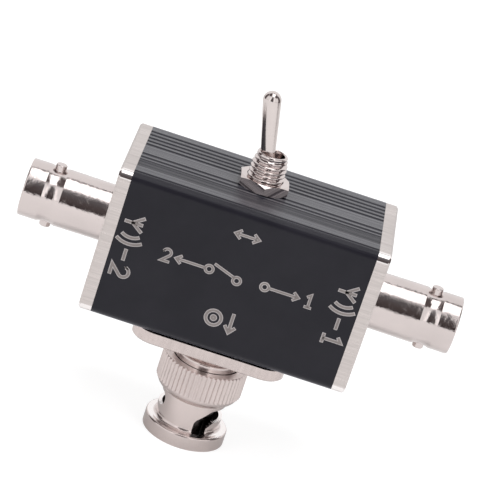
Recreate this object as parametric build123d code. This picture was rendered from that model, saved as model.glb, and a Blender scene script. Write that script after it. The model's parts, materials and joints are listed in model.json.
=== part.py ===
"""Coaxial antenna switch: a toggle joins the plug below to the left or the right jack.

Frame: +X towards the right-hand jack, +Y to the back, +Z up towards the toggle.
The origin lies on the plug's axis, in the plane of the coupling ring's end face.
All sizes are in millimetres.
"""

import os
from math import cos, pi, radians, sin, tan

from build123d import *

# ---------------------------------------------------------------- driving dimensions

# Housing
housing_length = 40.4
housing_width = 25.0
housing_height = 25.0
housing_wall = 1.5
housing_corner = 1.4
screw_channel_inset = 3.1
screw_channel_wall = 0.9
fine_groove_width = 0.85
fine_groove_depth = 0.15
fine_groove_slope = 0.38
fine_groove_pitch = 1.6
rear_groove_count = 5
rear_groove_start = 2.45
front_groove_count = 2
front_groove_start = -2.2
wide_groove_start = -4.75
wide_groove_width = 3.5
wide_groove_depth = 0.48
wide_groove_step = 0.08
wide_groove_slope = 0.2
edge_groove_place = -10.85

# End plates
plate_thickness = 2.15
plate_corner = 1.4
plate_edge_chamfer = 0.35

# Bottom flange
flange_width = 25.6
flange_shift = -0.3
flange_setback = 0.3
flange_thickness = 2.0
flange_corner = 3.8
flange_chamfer = 0.2

# Countersunk screws
screw_radius = 1.0
screw_head_radius = 1.9
screw_recess_width = 0.4
screw_recess_arm = 1.15
screw_recess_depth = 0.5
end_screw_length = 6.0
flange_screw_length = 3.3
flange_screw_inset = 3.5

# Jacks
jack_reach = 14.3
jack_radius = 4.8
jack_bore_radius = 4.05
jack_bore_depth = 9.0
jack_rim_chamfer = 0.25
lug_radius = 1.0
lug_span_radius = 5.5
lug_setback = 4.65
lug_band_width = 3.0
lug_band_depth = 0.18
jack_stub_radius = 4.0
jack_insulator_radius = 2.45
jack_insulator_recess = 1.9
jack_insulator_tail = 0.8
jack_nut_flats = 11.0
jack_nut_thickness = 2.0
socket_radius = 0.68
socket_depth = 5.0
socket_recess = 0.3
socket_slit = 0.2
contact_radius = 1.0
contact_tail = 3.2
contact_cup_depth = 1.9

# Plug
plug_reach = 18.5
plug_neck_radius = 4.45
plug_collar_radius = 5.6
plug_collar_height = 1.75
plug_collar_rounding = 0.35
plug_stub_radius = 4.0
plug_nut_flats = 12.0
plug_nut_thickness = 2.0
outer_contact_radius = 4.0
outer_contact_wall = 0.65
outer_contact_recess = 1.2
outer_contact_slot = 0.4
outer_contact_slot_length = 5.0
outer_contact_slot_turns = (45.0, 135.0)
plug_stem_radius = 4.1
plug_spigot_radius = 3.5
plug_spigot_length = 3.0
plug_insulator_radius = 2.35
plug_insulator_face = 6.8
plug_insulator_tail = 0.8
center_pin_radius = 0.675
center_pin_tip = 2.2
center_pin_nose = 0.35
center_pin_shank_radius = 0.95
center_pin_tail = 1.2
gasket_thickness = 1.0
gasket_seat_radius = 4.2
contact_flange_thickness = 1.0

# Coupling ring
ring_length = 13.9
ring_bore = 4.9
ring_end_radius = 7.0
ring_end_thickness = 2.4
ring_sleeve_radius = 5.5
knurl_radius = 7.3
knurl_length = 4.7
knurl_depth = 0.22
knurl_root_fill = 0.03
knurl_teeth = 56
knurl_land = 0.06
ring_bevel_top = 8.6
ring_bevel_height = 1.2
ring_bevel_rounding = 1.8
ring_end_fillet = 0.65
ring_end_rounding = 0.35
ring_counterbore_radius = 5.75
ring_step = 10.0
ring_travel = 0.7
bayonet_width = 2.4
bayonet_entry_angle = 26.0
bayonet_rise_angle = 20.0
bayonet_sweep = 88.0
bayonet_entry_height = 4.1
bayonet_end_height = 5.65
bayonet_drill_step = 5.0

# Spring stack in the coupling ring
wave_washer_flat_height = 0.6
wave_washer_thickness = 0.25
wave_count = 3
wave_points_per_period = 8
thrust_washer_thickness = 0.4
retaining_ring_thickness = 0.45
retaining_ring_gap_angle = 60.0
retaining_groove_depth = 0.35
collar_gap = 0.15

# Toggle switch
toggle_place = -0.25
toggle_nut_turn = 35.3
toggle_washer_radius = 5.0
bushing_radius = 3.0
bushing_height = 6.0
bushing_rim_radius = 2.5
bushing_rim_height = 1.3
bushing_mouth_radius = 2.2
bushing_tail_radius = 2.15
bushing_root_radius = 2.62
thread_pitch = 0.75
thread_flat = 0.1
toggle_nut_flats = 8.0
toggle_nut_thickness = 1.75
pivot_depth = 3.9
seat_lip_angle = 63.0
lever_lean = 13.0
lever_root_radius = 1.05
lever_tip_radius = 1.5
lever_tip_height = 12.65
lever_ball_radius = 1.5
lever_stem_radius = 0.95
lever_stem_length = 5.6
lever_bore_radius = 0.6
lever_bore_length = 3.7
lever_pin_radius = 0.45
lever_pin_length = 4.6
plunger_tip_radius = 0.9
plunger_tip_drop = 7.8
plunger_head_radius = 1.15
plunger_spigot_radius = 0.5
plunger_spigot_length = 1.7
plunger_travel = 0.4
plunger_spring_wire = 0.09
plunger_spring_turns = 6

# Toggle's box and contacts
bracket_thickness = 0.5
bracket_leg_thickness = 0.4
bracket_leg_width = 5.0
bracket_tab_length = 0.9
case_length = 13.2
case_width = 7.9
case_height = 9.0
case_wall = 0.8
case_floor = 1.0
terminal_spacing = 4.4
terminal_thickness = 0.8
terminal_width = 2.0
terminal_leg = 4.0
terminal_post_length = 1.6
terminal_post_width = 3.0
rocker_lean = 8.0
rocker_wing_angle = 8.0
rocker_half_length = 5.2
rocker_width = 3.2
rocker_thickness = 0.5
rocker_rod_radius = 0.5
rocker_button_radius = 0.6
rocker_button_height = 0.3
plunger_clearance = 0.12
contact_gap = 0.03

# Shared small parts and clearances
lock_washer_thickness = 0.5
lock_washer_slit = 0.6
nut_chamfer_angle = 30.0
wire_radius = 0.4
side_wire_drop = 2.4
running_gap = 0.05
seat_gap = 0.03
socket_gap = 0.08
loose_gap = 0.1
moving_gap = 0.35
cutter_margin = 1.0

# ---------------------------------------------------------------- derived places

flange_bottom = plug_reach
flange_depth = housing_width - 2 * flange_setback
housing_bottom = flange_bottom + flange_thickness
housing_top = housing_bottom + housing_height
port_height = housing_bottom + housing_height / 2
floor_inside = housing_bottom + housing_wall
ceiling_inside = housing_top - housing_wall
plate_inner = housing_length / 2
plate_outer = plate_inner + plate_thickness
jack_rim = plate_outer + jack_reach
screw_place_y = housing_width / 2 - screw_channel_inset
screw_place_z = housing_height / 2 - screw_channel_inset
screw_hole_radius = screw_radius + seat_gap
countersink_radius = screw_head_radius + seat_gap
flange_screw_x = flange_width / 2 - flange_screw_inset
flange_screw_y = flange_depth / 2 - flange_screw_inset

contact_flange_bottom = ring_step + running_gap
contact_flange_top = contact_flange_bottom + contact_flange_thickness
contact_flange_radius = ring_counterbore_radius - moving_gap
wave_washer_height = wave_washer_flat_height + ring_travel
wave_washer_top = contact_flange_top + wave_washer_height
thrust_washer_top = wave_washer_top + thrust_washer_thickness
retaining_ring_bottom = thrust_washer_top + running_gap
retaining_ring_top = retaining_ring_bottom + retaining_ring_thickness
collar_bottom = retaining_ring_top + collar_gap
collar_top = collar_bottom + plug_collar_height
gasket_bottom = contact_flange_bottom - gasket_thickness
gasket_radius = ring_bore - loose_gap
plug_nut_bottom = floor_inside + lock_washer_thickness
plug_stub_top = plug_nut_bottom + plug_nut_thickness + thread_pitch
plug_bore_radius = plug_insulator_radius + running_gap

toggle_washer_bottom = ceiling_inside - lock_washer_thickness
case_top = toggle_washer_bottom - bracket_thickness
case_bottom = case_top - case_height
bushing_top = housing_top + bushing_height
pivot_height = bushing_top - pivot_depth
plunger_head_top = -(lever_stem_length + plunger_travel + loose_gap)
plunger_middle_height = pivot_height - plunger_tip_drop
valley_reach = plunger_tip_radius / cos(radians(rocker_wing_angle))
rocker_height = plunger_middle_height - valley_reach - plunger_clearance - rocker_rod_radius
rocker_wing_top = rocker_rod_radius * cos(radians(rocker_wing_angle))
side_contact_height = (
    rocker_height + rocker_wing_top - rocker_thickness - rocker_button_height - contact_gap
)

UPWARDS = (Align.CENTER, Align.CENTER, Align.MIN)
SIDES = {"left": -1, "right": 1}


# ---------------------------------------------------------------- shape helpers


def rod(radius, bottom, top):
    """Solid cylinder on the Z axis between two heights."""
    return Pos(0, 0, bottom) * Cylinder(radius, top - bottom, align=UPWARDS)


def tube(outer, inner, bottom, top):
    """Hollow cylinder on the Z axis between two heights."""
    return rod(outer, bottom, top) - rod(inner, bottom, top)


def turned(*outline):
    """Solid of revolution about Z from (radius, height) points."""
    return revolve(Plane.XZ * make_face(Polyline(*outline, close=True)), Axis.Z)


def rounded_rim(shape, radius, height, rounding):
    """Fillet the circular edge that a turned shape has at this radius and height."""
    circles = shape.edges().filter_by(GeomType.CIRCLE)
    rim = circles.sort_by(lambda edge: abs(edge.radius - radius) + abs(edge.arc_center.Z - height))[0]
    return fillet(rim, rounding)


def block(x_range, y_range, z_range):
    """Box between two corners, given as a (low, high) pair for each axis."""
    size = [high - low for low, high in (x_range, y_range, z_range)]
    middle = [(high + low) / 2 for low, high in (x_range, y_range, z_range)]
    return Pos(*middle) * Box(*size)


def on_port(side, shape):
    """Turn a shape built along +Z from the housing's middle onto a port's axis."""
    return Pos(0, 0, port_height) * Rot(0, 90 * side, 0) * shape


def on_toggle(height, shape):
    """Move a shape onto the toggle's axis at a height."""
    return Pos(toggle_place, 0, height) * shape


def hex_nut(flats, thickness, hole_radius):
    """Hexagon nut with both faces chamfered at its corners, standing on z = 0."""
    corner = flats / 2 / cos(pi / 6)
    drop = (corner - flats / 2) * tan(radians(nut_chamfer_angle))
    prism = extrude(RegularPolygon(corner, 6), thickness)
    envelope = turned(
        (0, 0),
        (flats / 2, 0),
        (corner, drop),
        (corner, thickness - drop),
        (flats / 2, thickness),
        (0, thickness),
    )
    return (prism & envelope) - rod(hole_radius, 0, thickness)


def lock_washer(outer, inner):
    """Split lock washer standing on z = 0."""
    slit = block((0, outer), (0, lock_washer_slit), (0, lock_washer_thickness))
    return tube(outer, inner, 0, lock_washer_thickness) - slit


def countersunk_screw(length):
    """Cross-recess screw with its head's face at z = 0 and its shank along -Z."""
    cone_height = screw_head_radius - screw_radius
    body = turned(
        (0, 0),
        (screw_head_radius, 0),
        (screw_radius, -cone_height),
        (screw_radius, -length),
        (0, -length),
    )
    arm = screw_recess_arm
    half = screw_recess_width / 2
    recess_z = (-screw_recess_depth, 0)
    cross = block((-arm, arm), (-half, half), recess_z) + block((-half, half), (-arm, arm), recess_z)
    return body - cross


def countersunk_hole(length):
    """Cutter for a countersunk screw, with its mouth at z = 0."""
    cone_height = countersink_radius - screw_hole_radius
    return turned(
        (0, 0),
        (countersink_radius, 0),
        (screw_hole_radius, -cone_height),
        (screw_hole_radius, -length),
        (0, -length),
    )


def corner_places(half_x, half_y):
    """Four corner positions of a rectangular hole pattern."""
    return [(sx * half_x, sy * half_y) for sx in (-1, 1) for sy in (-1, 1)]


def bent_wire(start, bend, end):
    """Round wire, straight to its bend and then along a smooth curve that ends the same way."""
    way = Vector(*bend) - Vector(*start)
    path = Line(start, bend) + Spline(bend, end, tangents=[way, way])
    section = Plane(origin=start, z_dir=way) * Circle(wire_radius)
    return sweep(section, path=path)


# ---------------------------------------------------------------- housing and plates


def groove_cutter(*outline):
    """Cutter with this outline of (y, z) points along the whole housing."""
    return extrude(Plane.YZ * make_face(Polyline(*outline, close=True)), housing_length / 2, both=True)


def fine_groove(place):
    """Cutter for one shallow groove with sloping walls along the housing's top."""
    half = fine_groove_width / 2
    floor = housing_top - fine_groove_depth
    return groove_cutter(
        (place - half, housing_top),
        (place - half + fine_groove_slope, floor),
        (place + half - fine_groove_slope, floor),
        (place + half, housing_top),
    )


def wide_groove():
    """Cutter for the wide groove, whose floor slopes down towards the front."""
    front = wide_groove_start - wide_groove_width
    return groove_cutter(
        (wide_groove_start, housing_top),
        (wide_groove_start - wide_groove_slope, housing_top - wide_groove_step),
        (front + wide_groove_slope, housing_top - wide_groove_depth),
        (front, housing_top),
    )


def make_housing():
    """Extruded shell with four screw channels, top grooves and two holes."""
    middle = Pos(0, port_height)
    outside = RectangleRounded(housing_width, housing_height, housing_corner)
    hollow = Rectangle(housing_width - 2 * housing_wall, housing_height - 2 * housing_wall)
    channels = [Pos(*place) * Circle(screw_hole_radius + screw_channel_wall)
                for place in corner_places(screw_place_y, screw_place_z)]
    corners = [
        Pos(sy * housing_width / 2, sz * housing_height / 2)
        * Rectangle(2 * screw_channel_inset, 2 * screw_channel_inset)
        for sy in (-1, 1)
        for sz in (-1, 1)
    ]
    bosses = Sketch() + channels + corners
    section = (outside - hollow) + (outside & bosses)
    section -= [Pos(*place) * Circle(screw_hole_radius)
                for place in corner_places(screw_place_y, screw_place_z)]
    shell = extrude(Plane.YZ * (middle * section), housing_length / 2, both=True)
    fine_places = [rear_groove_start + n * fine_groove_pitch for n in range(rear_groove_count)]
    fine_places += [front_groove_start - n * fine_groove_pitch for n in range(front_groove_count)]
    fine_places += [edge_groove_place]
    for place in fine_places:
        shell -= fine_groove(place)
    shell -= wide_groove()
    shell -= on_toggle(0, rod(bushing_radius + loose_gap, port_height, housing_top))
    shell -= rod(plug_stub_radius + loose_gap, housing_bottom, port_height)
    tapped_depth = flange_screw_length - flange_thickness + seat_gap
    for place in corner_places(flange_screw_x, flange_screw_y):
        shell -= Pos(*place) * rod(screw_hole_radius, housing_bottom, housing_bottom + tapped_depth)
    return shell


def make_end_plate(side):
    """Square plate with a chamfered outer edge, a jack hole and four countersinks."""
    blank = extrude(RectangleRounded(housing_height, housing_width, plate_corner), plate_thickness)
    outer_edges = blank.faces().sort_by(Axis.Z)[-1].edges()
    blank = chamfer(outer_edges, plate_edge_chamfer)
    blank -= rod(jack_stub_radius + loose_gap, 0, plate_thickness)
    for place in corner_places(screw_place_z, screw_place_y):
        blank -= Pos(*place, plate_thickness) * countersunk_hole(plate_thickness)
    return on_port(side, Pos(0, 0, plate_inner) * blank)


def make_end_screws(side):
    """Four screws that hold one end plate."""
    screws = [Pos(*place, plate_outer) * countersunk_screw(end_screw_length)
              for place in corner_places(screw_place_z, screw_place_y)]
    return Compound(children=[on_port(side, screw) for screw in screws])


def make_bottom_flange():
    """Square flange between the plug and the housing, set a little to the left."""
    outline = Pos(flange_shift, 0) * RectangleRounded(flange_width, flange_depth, flange_corner)
    blank = extrude(outline, flange_thickness)
    blank = chamfer(blank.faces().sort_by(Axis.Z)[0].edges(), flange_chamfer)
    blank -= rod(plug_stub_radius + loose_gap, 0, flange_thickness)
    for place in corner_places(flange_screw_x, flange_screw_y):
        blank -= Pos(*place) * Rot(180, 0, 0) * countersunk_hole(flange_thickness)
    return Pos(0, 0, flange_bottom) * blank


def make_flange_screws():
    """Four screws that hold the flange to the housing."""
    screws = [Pos(*place, flange_bottom) * Rot(180, 0, 0) * countersunk_screw(flange_screw_length)
              for place in corner_places(flange_screw_x, flange_screw_y)]
    return Compound(children=screws)


# ---------------------------------------------------------------- jacks


def jack_washer_start():
    """Distance of a jack's lock washer from the housing's middle."""
    return plate_inner - lock_washer_thickness


def jack_nut_start():
    """Distance of a jack's nut from the housing's middle."""
    return jack_washer_start() - jack_nut_thickness


def jack_tail():
    """Distance of a jack shell's rear end from the housing's middle."""
    return jack_nut_start() - thread_pitch


def make_jack_shell(side):
    """Barrel with a threaded stub, an open bore and two bayonet lugs."""
    band_middle = jack_rim - lug_setback
    band_low = band_middle - lug_band_width / 2
    band_high = band_middle + lug_band_width / 2
    band_radius = jack_radius - lug_band_depth
    shell = turned(
        (jack_insulator_radius + running_gap, jack_tail()),
        (jack_stub_radius, jack_tail()),
        (jack_stub_radius, plate_outer),
        (jack_radius, plate_outer),
        (jack_radius, band_low),
        (band_radius, band_low + lug_band_depth),
        (band_radius, band_high - lug_band_depth),
        (jack_radius, band_high),
        (jack_radius, jack_rim - jack_rim_chamfer),
        (jack_radius - jack_rim_chamfer, jack_rim),
        (jack_bore_radius, jack_rim),
        (jack_bore_radius, jack_rim - jack_bore_depth),
        (jack_insulator_radius + running_gap, jack_rim - jack_bore_depth),
    )
    lug_root = (jack_bore_radius + jack_radius) / 2
    for turn in (0, 180):
        lug = Rot(0, 0, turn) * Rot(0, 90, 0) * rod(lug_radius, lug_root, lug_span_radius)
        shell += Pos(0, 0, band_middle) * lug
    return on_port(side, shell)


def make_jack_insulator(side):
    """Insulator that holds the centre contact of a jack."""
    bottom = jack_tail() - jack_insulator_tail
    top = jack_rim - jack_insulator_recess
    return on_port(side, tube(jack_insulator_radius, contact_radius + seat_gap, bottom, top))


def contact_front():
    """Distance of a jack contact's front face from the housing's middle."""
    return jack_rim - jack_insulator_recess - socket_recess


def contact_rear():
    """Distance of a jack contact's rear end from the housing's middle."""
    return jack_tail() - jack_insulator_tail - contact_tail


def make_jack_contact(side):
    """Centre contact with a split socket in front and a solder cup behind."""
    front = contact_front()
    rear = contact_rear()
    body = rod(contact_radius, rear, front)
    body -= rod(socket_radius, front - socket_depth, front)
    body -= rod(wire_radius + running_gap, rear, rear + contact_cup_depth)
    half = socket_slit / 2
    body -= block((-contact_radius, contact_radius), (-half, half), (front - socket_depth, front))
    return on_port(side, body)


def make_jack_lock_washer(side):
    """Lock washer between an end plate and its jack's nut."""
    washer = lock_washer(jack_nut_flats / 2, jack_stub_radius + loose_gap)
    return on_port(side, Pos(0, 0, jack_washer_start()) * washer)


def make_jack_nut(side):
    """Nut that clamps a jack in its end plate."""
    nut = hex_nut(jack_nut_flats, jack_nut_thickness, jack_stub_radius + seat_gap)
    return on_port(side, Pos(0, 0, jack_nut_start()) * nut)


# ---------------------------------------------------------------- plug


def make_plug_rear_body():
    """Neck, round-shouldered collar and threaded stub that hold the plug in the flange."""
    spigot_hole = plug_spigot_radius + seat_gap
    spigot_top = collar_bottom + plug_spigot_length + seat_gap
    body = turned(
        (spigot_hole, collar_bottom),
        (plug_collar_radius, collar_bottom),
        (plug_collar_radius, collar_top),
        (plug_neck_radius, collar_top),
        (plug_neck_radius, flange_bottom),
        (plug_stub_radius, flange_bottom),
        (plug_stub_radius, plug_stub_top),
        (plug_bore_radius, plug_stub_top),
        (plug_bore_radius, spigot_top),
        (spigot_hole, spigot_top),
    )
    return rounded_rim(body, plug_collar_radius, collar_top, plug_collar_rounding)


def make_plug_outer_contact():
    """Slotted contact tube, the flange that seats the ring, and the stem behind it."""
    tube_bore = outer_contact_radius - outer_contact_wall
    body = turned(
        (tube_bore, outer_contact_recess),
        (outer_contact_radius, outer_contact_recess),
        (outer_contact_radius, gasket_bottom),
        (gasket_seat_radius, gasket_bottom),
        (gasket_seat_radius, contact_flange_bottom),
        (contact_flange_radius, contact_flange_bottom),
        (contact_flange_radius, contact_flange_top),
        (plug_stem_radius, contact_flange_top),
        (plug_stem_radius, collar_bottom),
        (plug_spigot_radius, collar_bottom),
        (plug_spigot_radius, collar_bottom + plug_spigot_length),
        (plug_bore_radius, collar_bottom + plug_spigot_length),
        (plug_bore_radius, contact_flange_top),
        (tube_bore, contact_flange_top),
    )
    slot_z = (outer_contact_recess, outer_contact_recess + outer_contact_slot_length)
    half = outer_contact_slot / 2
    reach = outer_contact_radius
    for turn in outer_contact_slot_turns:
        body -= Rot(0, 0, turn) * block((-reach, reach), (-half, half), slot_z)
    return body


def make_plug_insulator():
    """Insulator from the plug's face to its rear end."""
    face_radius = outer_contact_radius - outer_contact_wall - running_gap
    pin_hole = center_pin_shank_radius + seat_gap
    top = plug_stub_top + plug_insulator_tail
    return turned(
        (pin_hole, plug_insulator_face),
        (face_radius, plug_insulator_face),
        (face_radius, contact_flange_top - seat_gap),
        (plug_insulator_radius, contact_flange_top - seat_gap),
        (plug_insulator_radius, top),
        (pin_hole, top),
    )


def center_pin_top():
    """Height of the centre pin's solder cup."""
    return plug_stub_top + plug_insulator_tail + center_pin_tail


def make_plug_center_pin():
    """Centre pin with a rounded nose and a solder cup at its top."""
    pin = turned(
        (0, center_pin_tip),
        (center_pin_radius - center_pin_nose, center_pin_tip),
        (center_pin_radius, center_pin_tip + center_pin_nose),
        (center_pin_radius, plug_insulator_face),
        (center_pin_shank_radius, plug_insulator_face),
        (center_pin_shank_radius, center_pin_top()),
        (0, center_pin_top()),
    )
    cup_bottom = center_pin_top() - center_pin_tail
    return pin - rod(wire_radius + running_gap, cup_bottom, center_pin_top())


def make_plug_gasket():
    """Sealing gasket at the root of the outer contact."""
    return tube(gasket_radius, gasket_seat_radius + seat_gap, gasket_bottom, contact_flange_bottom)


def make_plug_lock_washer():
    """Lock washer between the housing's floor and the plug's nut."""
    washer = lock_washer(plug_nut_flats / 2, plug_stub_radius + loose_gap)
    return Pos(0, 0, floor_inside) * washer


def make_plug_nut():
    """Nut that clamps the plug, the flange and the housing together."""
    nut = hex_nut(plug_nut_flats, plug_nut_thickness, plug_stub_radius + seat_gap)
    return Pos(0, 0, plug_nut_bottom) * nut


# ---------------------------------------------------------------- coupling ring


def bayonet_height(angle):
    """Height of the bayonet slot's middle line, at an angle past its entry."""
    share = min(angle / bayonet_rise_angle, 1.0)
    return bayonet_entry_height + (bayonet_end_height - bayonet_entry_height) * share


def bayonet_cutter():
    """One axial entry and one rising slot through the sleeve's wall, entering at the front."""
    half = bayonet_width / 2
    outside = ring_end_radius + cutter_margin
    groove_depth = lug_span_radius + loose_gap
    inside = ring_bore - cutter_margin
    entry = Rot(0, 0, -90) * (
        block((inside, groove_depth), (-half, half), (0, ring_end_thickness))
        + block((inside, outside), (-half, half), (ring_end_thickness, bayonet_entry_height))
    )
    count = round(bayonet_sweep / bayonet_drill_step)
    drill = Rot(0, 90, 0) * rod(half, inside, outside)
    cutter = entry
    for n in range(count + 1):
        angle = bayonet_sweep * n / count
        cutter += Pos(0, 0, bayonet_height(angle)) * Rot(0, 0, angle - 90) * drill
    above_flange = rod(outside, ring_end_thickness, ring_length)
    in_flange = rod(outside, 0, ring_end_thickness) & entry
    return (cutter & above_flange) + in_flange


def knurl_bottom():
    """Height where the knurl begins."""
    return ring_length - knurl_length


def knurled_sleeve():
    """Prism of straight teeth with flat crests and flat roots."""
    root_radius = knurl_radius - knurl_depth
    tooth = (
        (-knurl_land, knurl_radius),
        (knurl_land, knurl_radius),
        (0.5 - knurl_land, root_radius),
        (0.5 + knurl_land, root_radius),
    )
    points = []
    for n in range(knurl_teeth):
        for share, radius in tooth:
            angle = 2 * pi * (n + share) / knurl_teeth
            points.append((radius * cos(angle), radius * sin(angle)))
    prism = extrude(make_face(Polyline(*points, close=True)), knurl_length)
    return Pos(0, 0, knurl_bottom()) * prism


def make_coupling_ring():
    """Knurled ring with a counterbore for its spring and two bayonet slots."""
    root_radius = knurl_radius - knurl_depth + knurl_root_fill
    bevel_bottom = ring_bevel_top - ring_bevel_height
    lower = turned(
        (0, 0),
        (ring_end_radius, 0),
        (ring_end_radius, ring_end_thickness),
        (ring_sleeve_radius, ring_end_thickness),
        (ring_sleeve_radius, bevel_bottom),
        (root_radius, ring_bevel_top),
        (root_radius, ring_length),
        (0, ring_length),
    )
    lower = rounded_rim(lower, ring_sleeve_radius, ring_end_thickness, ring_end_fillet)
    lower = rounded_rim(lower, ring_end_radius, ring_end_thickness, ring_end_rounding)
    lower = rounded_rim(lower, root_radius, ring_bevel_top, ring_bevel_rounding)
    envelope = turned(
        (0, knurl_bottom()),
        (knurl_radius, knurl_bottom()),
        (knurl_radius, ring_length - knurl_depth),
        (root_radius, ring_length),
        (0, ring_length),
    )
    ring = lower + (knurled_sleeve() & envelope)
    groove_bottom = retaining_ring_bottom - seat_gap
    groove_top = retaining_ring_top + seat_gap
    ring -= rod(ring_bore, 0, ring_step)
    ring -= rod(ring_counterbore_radius, ring_step, ring_length)
    ring -= rod(ring_counterbore_radius + retaining_groove_depth, groove_bottom, groove_top)
    slot = bayonet_cutter()
    for turn in (0, 180):
        ring -= Rot(0, 0, bayonet_entry_angle + turn) * slot
    return ring


def make_wave_washer():
    """Spring washer with an even wave, between the contact flange and the thrust washer."""
    inner = plug_stem_radius + loose_gap
    outer = contact_flange_radius
    swing = (wave_washer_height - wave_washer_thickness) / 2 - running_gap
    middle = contact_flange_top + wave_washer_height / 2
    samples = wave_points_per_period * wave_count

    def wave_edge(radius, offset):
        """Closed wavy curve at one radius."""
        points = []
        for n in range(samples):
            angle = 2 * pi * n / samples
            height = middle + offset + swing * cos(wave_count * angle)
            points.append((radius * cos(angle), radius * sin(angle), height))
        return Edge.make_spline(points, periodic=True)

    half = wave_washer_thickness / 2
    rims = [
        wave_edge(inner, -half),
        wave_edge(outer, -half),
        wave_edge(outer, half),
        wave_edge(inner, half),
    ]
    walls = [Face.make_surface_from_curves(rims[n], rims[(n + 1) % 4]) for n in range(4)]
    return Solid(Shell(walls))


def make_thrust_washer():
    """Flat washer that the wave washer pushes against."""
    outer = ring_counterbore_radius - moving_gap
    return tube(outer, plug_stem_radius + socket_gap, wave_washer_top, thrust_washer_top)


def make_retaining_ring():
    """Open snap ring in the coupling ring's groove."""
    outer = ring_counterbore_radius + retaining_groove_depth - seat_gap
    inner = plug_stem_radius + moving_gap
    ring = tube(outer, inner, retaining_ring_bottom, retaining_ring_top)
    half_gap = retaining_ring_gap_angle / 2
    wedge = Polyline(
        (0, 0),
        (outer * 2 * cos(radians(half_gap)), outer * 2 * sin(radians(half_gap))),
        (outer * 2 * cos(radians(half_gap)), -outer * 2 * sin(radians(half_gap))),
        close=True,
    )
    thickness = retaining_ring_top - retaining_ring_bottom
    return ring - Pos(0, 0, retaining_ring_bottom) * extrude(make_face(wedge), thickness)


# ---------------------------------------------------------------- toggle switch


def make_toggle_bushing():
    """Threaded bushing with a spherical seat, a flared mouth and holes for the lever's pin."""
    thread_top = bushing_top - bushing_rim_height
    turns = int((thread_top - toggle_washer_bottom) / thread_pitch)
    thread_bottom = thread_top - turns * thread_pitch
    outline = [(0, case_top), (bushing_root_radius, case_top), (bushing_root_radius, thread_bottom)]
    for n in range(turns):
        height = thread_bottom + n * thread_pitch
        outline += [
            (bushing_root_radius, height + thread_flat),
            (bushing_radius, height + thread_pitch / 2 - thread_flat / 2),
            (bushing_radius, height + thread_pitch / 2 + thread_flat / 2),
            (bushing_root_radius, height + thread_pitch - thread_flat),
        ]
    outline += [
        (bushing_root_radius, thread_top),
        (bushing_rim_radius, bushing_top),
        (0, bushing_top),
    ]
    body = turned(*outline)
    seat_radius = lever_ball_radius + socket_gap
    lip_radius = seat_radius * sin(radians(seat_lip_angle))
    lip_height = seat_radius * cos(radians(seat_lip_angle))
    body -= Pos(0, 0, pivot_height) * Sphere(seat_radius)
    body -= turned(
        (0, pivot_height),
        (lip_radius, pivot_height + lip_height),
        (bushing_mouth_radius, bushing_top),
        (0, bushing_top),
    )
    body -= turned(
        (0, pivot_height),
        (lip_radius, pivot_height - lip_height),
        (bushing_tail_radius, case_top),
        (0, case_top),
    )
    pin_half = lever_pin_length / 2 + loose_gap
    pin_hole = Rot(90, 0, 0) * rod(lever_pin_radius + socket_gap, -pin_half, pin_half)
    body -= Pos(0, 0, pivot_height) * pin_hole
    return on_toggle(0, body)


def leaning(shape):
    """Turn a shape built on the upright lever's axis, pivot at the origin, to its rest lean."""
    return on_toggle(pivot_height, Rot(0, -lever_lean, 0) * shape)


def make_toggle_lever():
    """Bat handle, pivot ball and hollow stem."""
    handle = turned(
        (0, 0),
        (lever_root_radius, 0),
        (lever_tip_radius, lever_tip_height),
        (0, lever_tip_height),
    )
    tip = Pos(0, 0, lever_tip_height) * Sphere(lever_tip_radius)
    ball = Sphere(lever_ball_radius)
    stem = rod(lever_stem_radius, -lever_stem_length, 0)
    body = handle + tip + ball + stem
    body -= rod(lever_bore_radius, -lever_stem_length, -lever_stem_length + lever_bore_length)
    pin_half = lever_pin_length / 2
    body -= Rot(90, 0, 0) * rod(lever_pin_radius, -pin_half, pin_half)
    return leaning(body)


def make_lever_pin():
    """Pivot pin pressed through the lever's ball."""
    pin_half = lever_pin_length / 2
    return leaning(Rot(90, 0, 0) * rod(lever_pin_radius, -pin_half, pin_half))


def make_toggle_plunger():
    """Insulating plunger that slides in the lever's stem and tips the rocker."""
    drop = -plunger_tip_drop
    head = turned(
        (0, drop),
        (plunger_tip_radius, drop),
        (plunger_head_radius, (drop + plunger_head_top) / 2),
        (plunger_head_radius, plunger_head_top),
        (plunger_spigot_radius, plunger_head_top),
        (plunger_spigot_radius, plunger_head_top + plunger_spigot_length),
        (0, plunger_head_top + plunger_spigot_length),
    )
    return leaning(head + Pos(0, 0, drop) * Sphere(plunger_tip_radius))


def make_plunger_spring():
    """Coil spring between the plunger and the end of the lever's bore."""
    bottom = plunger_head_top + plunger_spigot_length + plunger_spring_wire
    top = -lever_stem_length + lever_bore_length - plunger_spring_wire
    coil_radius = lever_bore_radius - socket_gap - plunger_spring_wire
    path = Helix((top - bottom) / plunger_spring_turns, top - bottom, coil_radius, (0, 0, bottom))
    section = Plane(origin=path @ 0, z_dir=path % 0) * Circle(plunger_spring_wire)
    return leaning(sweep(section, path=path, is_frenet=True))


def make_toggle_bracket():
    """Steel bracket that clamps the case under the bushing."""
    leg_outer = case_length / 2 + seat_gap + bracket_leg_thickness
    leg_inner = case_length / 2 + seat_gap
    half_width = case_width / 2
    half_leg = bracket_leg_width / 2
    tab_top = case_bottom - seat_gap
    tab_bottom = tab_top - bracket_leg_thickness
    body = block((-leg_outer, leg_outer), (-half_width, half_width), (case_top, toggle_washer_bottom))
    for sign in (-1, 1):
        leg_x = sorted((sign * leg_inner, sign * leg_outer))
        tab_x = sorted((sign * (leg_inner - bracket_tab_length), sign * leg_outer))
        body += block(leg_x, (-half_leg, half_leg), (tab_bottom, case_top))
        body += block(tab_x, (-half_leg, half_leg), (tab_bottom, tab_top))
    body -= rod(bushing_root_radius + seat_gap, case_top, toggle_washer_bottom)
    return on_toggle(0, body)


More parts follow.
